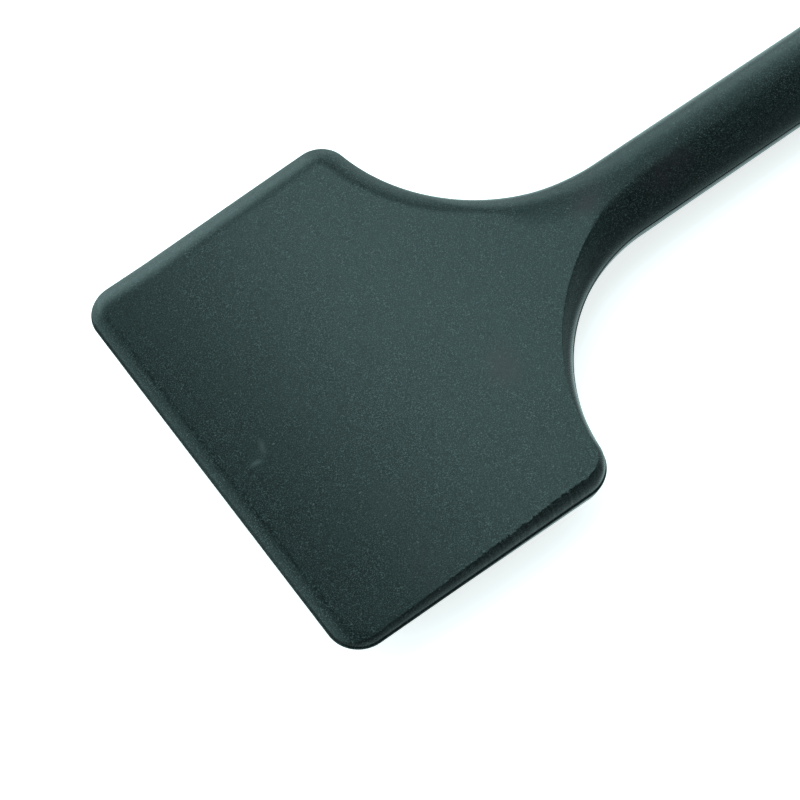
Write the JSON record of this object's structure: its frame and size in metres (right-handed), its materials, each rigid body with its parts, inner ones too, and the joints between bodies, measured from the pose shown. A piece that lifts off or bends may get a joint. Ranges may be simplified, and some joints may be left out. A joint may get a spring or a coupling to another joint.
{
  "type": "wide-blade spudger",
  "caption": "Prying tool moulded in one piece: a wide flat wedge blade flares down to a round bar handle with a narrow chisel at its far end.",
  "frame": {"origin": "centre of the tool's box, on the parting plane and on the handle's axis", "axes": "X along the tool, -X towards the wide blade's working edge and +X towards the chisel; Y across the blade; +Z out of the blade's face"},
  "size_m": [0.155, 0.0408, 0.0076],
  "materials": {
    "nylon": "matte, fine spark-eroded mould texture"
  },
  "bodies": {
    "root": {"blade": "nylon", "neck": "nylon", "handle": "nylon", "chisel_tip": "nylon"}
  },
  "joints": []
}
